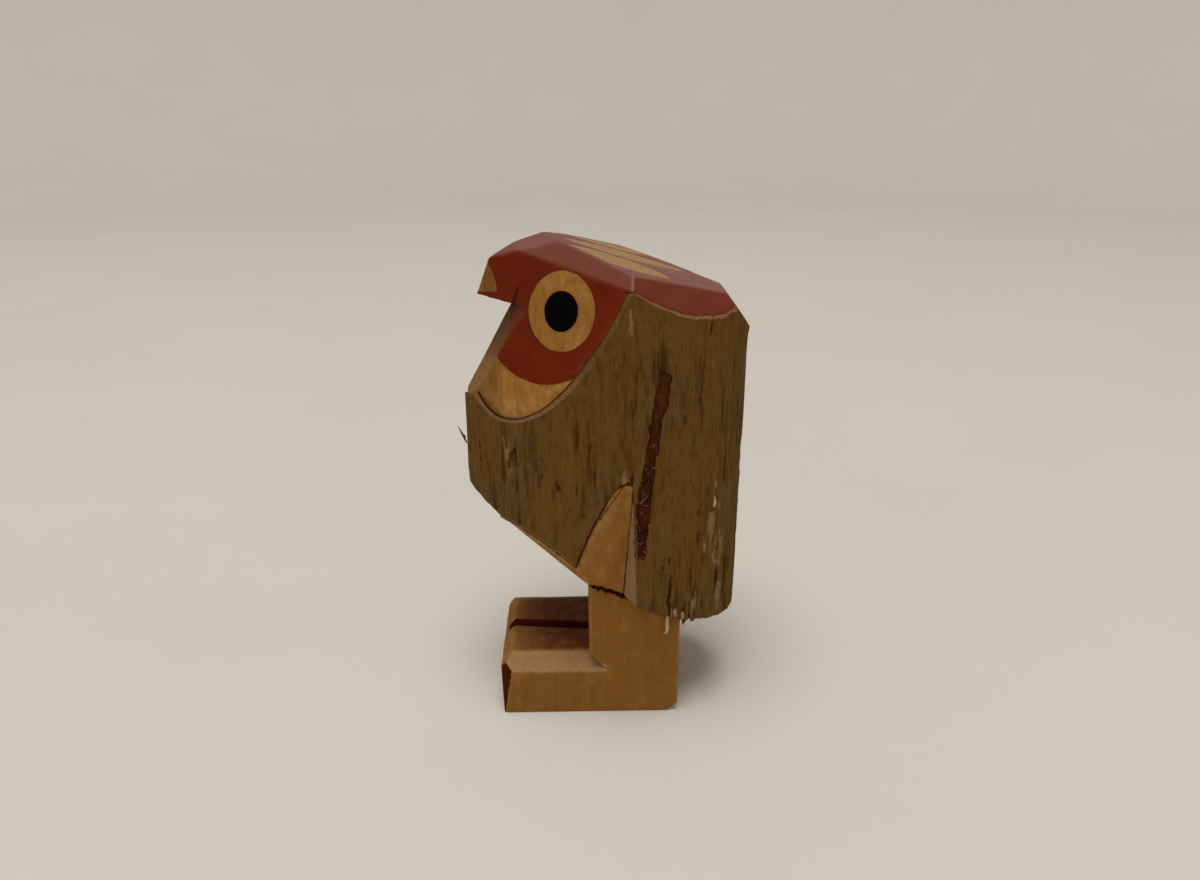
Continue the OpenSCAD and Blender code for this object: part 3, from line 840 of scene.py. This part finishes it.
def cut_inward(V, N, t):
    """Way in from the bark's edge, lying in the knife cut that made that edge."""
    d = body_cuts(V[:, 0], V[:, 1], V[:, 2])
    names = list(d)
    table = {"face": FACE, "brow_a": BROW_A, "brow_b": BROW_B, "temple": TEMPLE, "poll": POLL, "nape": NAPE,
             "right_nape": RIGHT_NAPE, "tail_end": TAIL_END, "belly": BELLY, "tail": TAIL,
             "side": BELLY_SIDE}
    who = np.argmax(np.stack([d[k] for k in names]), 0)
    near = np.max(np.stack([d[k] for k in names]), 0)
    out, dive = -N.copy(), -0.6 * N
    for k, key in enumerate(names):
        if key not in table:
            continue
        c = table[key]
        sel = (who == k) & (near > -0.6)
        n = np.repeat(facing(c[1], c[2])[None], sel.sum(), 0)
        if (c[0][0] > 0) or key in ("face", "brow_a", "brow_b"):
            n[:, 0] *= np.where(V[sel, 0] < 0, -1, 1)
        dot = np.sum(n * N[sel], 1)[:, None]
        way = -N[sel] + dot * n
        size = np.maximum(np.sum(-way * N[sel], 1), 0.12)[:, None]
        out[sel] = way / size
        dive[sel] = -0.5 * n - 0.3 * N[sel]
    return out * (t / 0.45)[:, None], dive


# how ragged the bark is along each knife cut
RAGGED = {"tail": 0.22, "tail_end": 0.3, "belly": 0.12, "side": 0.12, "poll": 0.14, "nape": 0.14,
          "right_nape": 0.14, "thigh": 0.08}
# patches on the bark: along Y, up Z, half sizes, side of the bird
SCARS = [(26.4, 46.0, 1.1, 4.4, 1), (28.4, 42.0, 0.9, 4.4, 1), (28.5, 30.0, 0.9, 3.6, 1),
         (22.6, 28.5, 0.7, 2.4, 1), (18.4, 28.0, 0.7, 2.2, 1), (26.6, 53.8, 0.4, 1.5, 1),
         (15.6, 88.5, 0.5, 2.6, 1), (26.5, 57.5, 0.3, 3.0, 1), (7.4, 60.5, 1.0, 1.5, 1),
         (-8.5, 56.0, 0.35, 1.3, 1), (7.8, 94.5, 0.8, 2.4, 1), (-17.5, 63.0, 0.5, 3.0, 1),
         (14.0, 38.0, 0.8, 5.0, -1), (-5.0, 60.0, 0.7, 3.4, -1), (25.0, 70.0, 0.8, 4.0, -1),
         (20.0, 33.0, 0.9, 3.0, -1), (-14.0, 55.0, 0.5, 2.5, -1), (3.0, 84.0, 0.6, 3.5, -1)]
CRACKS = [(17.3, 30.8, 0.42, 5.2, 1), (22.0, 29.5, 0.22, 4.6, 1), (-17.0, 59.5, 0.5, 2.2, 1),
          (-16.0, 62.8, 0.35, 1.6, 1), (28.0, 36.0, 0.3, 5.0, 1), (23.0, 47.0, 0.3, 2.6, 1),
          (-6.6, 57.5, 0.4, 0.9, 1), (24.0, 92.0, 0.3, 1.6, 1), (27.0, 68.0, 0.28, 4.5, 1),
          (12.0, 33.0, 0.3, 5.0, -1), (24.0, 52.0, 0.3, 6.0, -1), (-12.0, 64.0, 0.35, 3.0, -1),
          (4.0, 50.0, 0.3, 2.4, -1)]


# ---------------- legs and feet
def leg_cuts(x, y, z):
    ax = soft_abs(x - FEET_X)
    bevel = ((FEET_HALF_W, 0, FEET_TOP - 2.6), 0.0, 58.5)
    corner = ((FEET_HALF_W, -20.2, 0), -49.0, 7.4)
    diag = 0.779 * (y - SHIN_Y) + 0.627 * (z - 16.2)
    gx = np.abs(x - (1.9 + (y - SHIN_Y) * 0.104))
    gap = np.minimum(np.minimum(1.55 - gx + 0.3 * (z - FEET_TOP), z - 12.3), SHIN_Y - y)
    return {
        "side": ax - FEET_HALF_W, "sole": -z, "heel": y - FEET_BACK,
        "heel_cut": 0.59 * (y - 17.6) - 0.807 * z,
        "toe": -0.998 * (y + 20.2) - 0.0635 * z, "toe_top": -0.768 * (y + 20.9) + 0.640 * (z - 11.0),
        "seat": -cut(TAIL, x, y, z) - 0.35, "shape": np.minimum(z - FEET_TOP, SHIN_Y - y),
        "bevel": np.minimum(cut(bevel, ax, y, z), -diag),
        "corner": cut(corner, ax, y, z), "gap": gap,
    }


def make_legs():
    lo, hi = (-16.6, -21.8, -0.7), (17.9, 21.2, 35.6)
    xs, ys, zs = grid_axes(lo, hi)
    x, y, z = xs[:, None, None], ys[None, :, None], zs[None, None, :]
    F = np.full((len(xs), len(ys), len(zs)), -9, np.float32)
    for key, v in leg_cuts(x, y, z).items():
        k = 0.12 if key in ("seat", "gap") else 0.4
        F = both_max(F, np.broadcast_to(v.astype(np.float32), F.shape), np.float32(k))
    V, Q = surface_nets(F, lo)
    T = triangles(Q)
    d = leg_cuts(*V.T)
    stack = np.sort(np.stack(list(d.values())), axis=0)
    edge = np.clip(stack[-1] - stack[-2], 0, 5)
    N = normals(V, T)
    keep_flat = smooth(0.2, 1.5, V[:, 2])
    V = knife_waves(V, N * keep_flat[:, None])
    on_top = smooth(0.5, 0.1, np.abs(V[:, 2] - FEET_TOP)) * (V[:, 1] < SHIN_Y + 0.2)
    cloud = 0.5 + 0.5 * fbm(V / 2.4, 3, 68)
    inner = smooth(13.2, 11.0, np.abs(V[:, 0] - FEET_X) + 1.2 * cloud)
    ahead = SHIN_Y - V[:, 1] + 3 * (cloud - 0.5)
    shin = smooth(19.0, 14.5, V[:, 2] + 3 * (cloud - 0.5)) * smooth(0.5, 0.2, np.abs(V[:, 1] - SHIN_Y))
    # darker toward the leg: real stain, and painted shadow of the body on the tops of the feet
    stain_and_body_shadow = (0.85 * smooth(12.0, 0.5, ahead) + 0.75 * smooth(22.0, 9.0, ahead)).clip(0, 0.86)
    stain_and_shadow = np.maximum(on_top * inner * stain_and_body_shadow, 0.8 * shin * inner)
    A = {"edge": edge, "nick": np.full(len(V), 9.0), "stain_and_shadow": stain_and_shadow, "line": np.full(len(V), 9.0),
         # pale: the outer bevel of each foot lighter, a painted highlight on the facet turned to the light
         "pale": 0.62 * smooth(-0.4, 0.0, d["bevel"] - rest_of(d, "bevel"))}
    piece("legs_and_feet", V, Q, A, LEG_WOOD, ("leg_block",))
    gap = np.minimum(d["gap"] - rest_of(d, "gap") + 0.12 + wobble(V, 0.9, 0.3, 66),
                     np.minimum(V[:, 2] - 9.0, FEET_TOP + 0.2 - V[:, 2]))
    film("toe_gap_stain", V, T, A, gap, STAIN_LIFT, WINE, "toe_gap_paint")
    for side, name in ((1, "left"), (-1, "right")):
        rest = rest_of(d, "corner")
        f = np.minimum(d["corner"] - rest + 0.1 + wobble(V, 1.0, 0.15, 69), (V[:, 0] - FEET_X) * side)
        film("toe_stain_" + name, V, T, A, f, STAIN_LIFT, WINE, name + "_toe_paint")


# ---------------- splinters and fibres
def blade(points, width, thick, flat=(1, 0, 0)):
    """A thin tapered sliver along points: vertices and triangles."""
    pts = np.array(points, float)
    if len(pts) < 5:
        t = np.linspace(0, len(pts) - 1, 7)
        pts = np.stack([np.interp(t, np.arange(len(pts)), pts[:, k]) for k in range(3)], 1)
    d = np.gradient(pts, axis=0)
    d /= np.linalg.norm(d, axis=1)[:, None]
    side = np.cross(d, np.array(flat, float))
    side /= np.linalg.norm(side, axis=1)[:, None]
    up = np.cross(side, d)
    s = np.linspace(0, 1, len(pts))
    w = width * (0.55 + 0.45 * np.sin(s * math.pi)) * (1 - s ** 3) + 0.03
    V, T = [], []
    for k, p in enumerate(pts):
        for cx, cy in ((-0.5, 0), (0, 0.5), (0.5, 0), (0, -0.5)):
            V.append(p + side[k] * cx * w[k] + up[k] * cy * thick * w[k] / width)
        if k:
            a = 4 * (k - 1)
            for j in range(4):
                q = (j + 1) % 4
                T += [(a + j, a + q, a + 4 + q), (a + j, a + 4 + q, a + 4 + j)]
    e = 4 * (len(pts) - 1)
    T += [(0, 2, 1), (0, 3, 2), (e, e + 1, e + 2), (e, e + 2, e + 3)]
    return np.array(V), np.array(T)


def bundle(name, blades, mat, attrs=()):
    vs, ts, at = [], [], 0
    for v, t in blades:
        vs.append(v)
        ts.append(t + at)
        at += len(v)
    V, T = np.vstack(vs), np.vstack(ts)
    A = {"edge": np.full(len(V), 5.0), "nick": np.full(len(V), 9.0), "line": np.full(len(V), 9.0)}
    A.update({k: np.full(len(V), v) for k, v in attrs})
    return piece(name, V, T, A, mat)


def groove_fibres(rng, side, heap):
    for _ in range(150):
        v = rng.random() ** 0.6
        z = 83.0 - 39.5 * v
        mid = np.interp(z, [42.5, 51.5, 67.0, 84.0], [10.8, 11.1, 12.5, 15.4])
        wide = np.interp(z, [42.5, 60.0, 84.0], [0.9, 1.4, 1.4])
        y = mid + (rng.random() * 2 - 1) * wide
        x = GROOVE_FLOOR + 0.1
        ln = 0.8 + 2.4 * rng.random()
        lean, out = rng.normal(0, 0.5), 0.3 + 0.9 * rng.random()
        if v > 0.3 and rng.random() < 0.2:
            across = rng.choice([-1, 1]) * (0.3 + 0.6 * rng.random())
            up = ln * rng.normal(0.3, 0.3)
            p = [(side * (x + 0.7), y, z), (side * (x + 1.2), y + across * 0.6, z + 0.6 * up),
                 (side * (x + 1.3), y + across, z + up)]
            heap["dull"].append(blade(p, 0.10 + 0.10 * rng.random(), 0.1, (side, 0, 0)))
        else:
            p = [(side * x, y, z), (side * (x + out * 0.7), y + lean * 0.5, z + ln * 0.5),
                 (side * (x + out), y + lean, z + ln)]
            heap["groove"].append(blade(p, 0.2 + 0.35 * rng.random(), 0.1, (side, 0, 0)))


def seam_splinters(rng, side, heap):
    for _ in range(56):
        y = SHIN_Y + rng.random() ** 1.3 * 9.0
        z = SEAT_H - 0.4 * y + 0.1
        x = (16.75 if side > 0 else 16.3) + 0.4 * rng.random()
        dy, dz = rng.normal(0.9, 0.6), -0.25 - 0.9 * rng.random() ** 2
        p = [(side * (x - 0.3), y, z + 0.35), (side * (x + 0.25), y + dy * 0.5, z + dz * 0.3),
             (side * (x + 0.35), y + dy, z + dz)]
        heap["seam"].append(blade(p, 0.6 + 0.6 * rng.random(), 0.25, (side, 0, 0)))


def rim_fringe(rng, heap):
    """Stubs of bark hanging from the rear half of the lower rim."""
    for _ in range(90):
        i = rng.integers(0, len(RING))
        px, py = RING[i]
        if not 14 < py < 23:
            continue
        n = RING_N[i]
        z = SEAT_H - 0.4 * py
        ln = 0.3 + 0.9 * rng.random() ** 4
        p0 = np.array([px + n[0] * 0.35, py + n[1] * 0.35, z + 0.9])
        p1 = np.array([px + n[0] * (0.4 + 0.2 * rng.random()), py + n[1] * 0.5, z - ln * 0.3])
        p2 = p1 + np.array([rng.normal(0, 0.2), rng.normal(0, 0.2), -ln * 0.7])
        heap["rough"].append(blade([p0, p1, p2], 0.6 + 0.8 * rng.random(), 0.3, (n[0], n[1], 0)))


def loose_fibres(rng, heap):
    """Slivers that lift off the bark, kept away from its edges and the groove."""
    for _ in range(170):
        i = rng.integers(0, len(RING))
        (px, py), n = RING[i], RING_N[i]
        z = 30 + 60 * rng.random()
        spots = [body_cuts(np.array([px + n[0]]), np.array([py + n[1]]), np.array([z + up])) for up in (0, 4)]
        if max(v[0] for c in spots for v in c.values()) > -1.2:
            continue
        if polygon_sd(GROOVE, np.array([py]), np.array([z]))[0] < 0.6:
            continue
        ln = 1.2 + 3.5 * rng.random()
        lift = 0.10 + 0.4 * rng.random() ** 3
        p = [(px + n[0] * out, py + n[1] * out, z + ln * up)
             for out, up in ((0.5, 0.0), (0.5 + lift * 0.6, 0.5), (0.5 + lift, 1.0))]
        heap["rough"].append(blade(p, 0.14 + 0.24 * rng.random(), 0.1, (n[0], n[1], 0)))


def single_chips(rng, heap):
    """The few chips that stand out: on the breast, the rim, the foot's corner and the thigh's point."""
    breast = [(0.3, -27.7, 61.4), (0.4, -28.6, 63.6), (0.4, -29.6, 65.8)]
    heap["rough"].append(blade(breast, 0.5, 0.35))
    breast = [(0.1, -27.8, 62.6), (0.1, -28.5, 63.4), (0.3, -29.0, 63.7)]
    heap["rough"].append(blade(breast, 0.3, 0.25))
    peg = [(18.2, 17.2, 26.6), (17.7, 17.15, 24.4), (17.45, 17.3, 22.6),
           (17.3, 17.0, 21.5), (17.2, 16.3, 21.1)]
    heap["pale"].append(blade(peg, 1.15, 0.3))
    for y, z, ln, w in ((18.6, 27.9, 1.3, 0.9), (15.9, 28.7, 1.0, 0.6), (20.3, 27.3, 1.2, 0.9)):
        stub = [(19.3, y, z + 0.9), (19.5, y + 0.1, z - ln * 0.4), (19.0, y + 0.25, z - ln)]
        heap["pale" if y < 16 else "dull"].append(blade(stub, w, 0.3))
    heap["rough"].append(blade([(18.0, 20.6, 26.6), (18.2, 20.8, 25.2), (18.0, 20.7, 23.9)], 1.0, 0.7))
    for k in range(9):
        y, z = 1.5 + 2.4 * rng.random(), 13.3 - 1.6 * rng.random()
        a = rng.normal(0.5, 0.5)
        x0 = FEET_X + FEET_HALF_W
        cy, cz = math.cos(a), math.sin(a)
        hair = [(x0 - 0.3, y, z), (x0 + 0.15, y + 0.5 * cy, z + 0.5 * cz),
                (x0 + 0.3, y + 1.3 * cy, z + 1.2 * cz)]
        heap["pale" if k < 3 else "dull"].append(blade(hair, 0.2, 0.12))
    for k in range(8):
        y, z = 8.6 - 1.6 * rng.random(), 61.4 - 1.8 * rng.random()
        curl = [(20.3, y, z), (20.75, y - 0.5, z + 0.8), (20.9, y - 0.2, z + 1.7)]
        heap["dull"].append(blade(curl, 0.28, 0.14))
    heap["pale"].append(blade([(16.9, 26.5, 52.6), (17.1, 26.7, 53.8), (16.9, 26.6, 55.2)], 0.6, 0.25))


def make_fibres():
    rng = np.random.default_rng(7)
    heap = {key: [] for key in ("groove", "dull", "seam", "pale", "rough")}
    for side in (1, -1):
        groove_fibres(rng, side, heap)
        seam_splinters(rng, side, heap)
    rim_fringe(rng, heap)
    loose_fibres(rng, heap)
    single_chips(rng, heap)
    bundle("groove_fibres", heap["groove"], GROOVE_STAIN)
    # nick 0.2 darkens these splinters with the knife nick's painted shadow, dark in the seam under the rim
    bundle("seam_splinters", heap["seam"], WINE, (("nick", 0.2),))
    bundle("pale_splinters", heap["pale"], SPLINTER)
    bundle("dull_fibres", heap["dull"], SPLINTER, (("shade", 0.75),))
    bundle("bark_fibres", heap["rough"], BARK, (("relief", 0.3),))


# ---------------- floor, light and camera
def make_stage():
    prof = [(0.0, 0.0), (0.5, 0.0), (1.1, 0.0)]
    prof += [(1.1 + 0.5 * math.sin(a), 0.5 - 0.5 * math.cos(a)) for a in np.linspace(0.15, math.pi / 2, 9)]
    prof += [(1.6, 1.4)]
    turns = 96
    verts, faces = [], []
    for r, z in prof:
        for k in range(turns):
            a = 2 * math.pi * k / turns
            verts.append((r * math.cos(a) + 1e-5 * math.cos(a), r * math.sin(a) + 1e-5 * math.sin(a), z))
    for j in range(len(prof) - 1):
        for k in range(turns):
            q = (k + 1) % turns
            faces.append((j * turns + k, j * turns + q, (j + 1) * turns + q, (j + 1) * turns + k))
    mesh = bpy.data.meshes.new("studio_floor")
    mesh.from_pydata(verts, [], faces)
    mesh.polygons.foreach_set("use_smooth", np.ones(len(faces), bool))
    m = Nodes("floor_paper")
    tone = m.noise((0.012, 0.012, 0.012), 3.0, 0.5)
    c = m.mix(m.span(tone, 0.3, 0.7), (0.66, 0.635, 0.59), (0.675, 0.65, 0.605))
    mesh.materials.append(m.finish(c, 0.85, specular=0.2))
    floor = bpy.data.objects.new("studio_floor", mesh)
    bpy.context.scene.collection.objects.link(floor)


def area_light(name, at, look, size, power, colour):
    data = bpy.data.lights.new(name, "AREA")
    data.shape, data.size = "DISK", size
    data.energy, data.color = power, colour
    obj = bpy.data.objects.new(name, data)
    obj.location = at
    obj.rotation_euler = (Vector(look) - Vector(at)).to_track_quat("-Z", "Y").to_euler()
    bpy.context.scene.collection.objects.link(obj)


def make_light_and_camera():
    area_light("soft_top", (0.40, -0.10, 2.30), (0, 0, 0.05), 1.5, 37.0, (1.0, 0.965, 0.92))
    area_light("front_fill", (0.75, -0.20, 0.45), (0, 0, 0.06), 0.6, 0.35, (1.0, 0.96, 0.90))
    world = bpy.data.worlds.new("studio")
    world.use_nodes = True
    world.node_tree.nodes["Background"].inputs[0].default_value = (0.86, 0.85, 0.83, 1)
    world.node_tree.nodes["Background"].inputs[1].default_value = 0.17
    scene = bpy.context.scene
    scene.world = world
    scene.view_settings.view_transform = "Standard"
    data = bpy.data.cameras.new("camera")
    data.lens, data.sensor_width = 27.0, 36.0
    data.clip_start = 0.01
    cam = bpy.data.objects.new("camera", data)
    cam.location = (0.1912, -0.00184, 0.1351)
    cam.rotation_euler = (math.radians(69.0), 0.0, math.radians(88.7))
    scene.collection.objects.link(cam)
    scene.camera = cam


make_stage()
make_light_and_camera()
V, T, d, A = make_body()
face_films(V, T, d, A)
groove_films(V, T, A)
crown_film()
make_bark()
make_legs()
make_fibres()
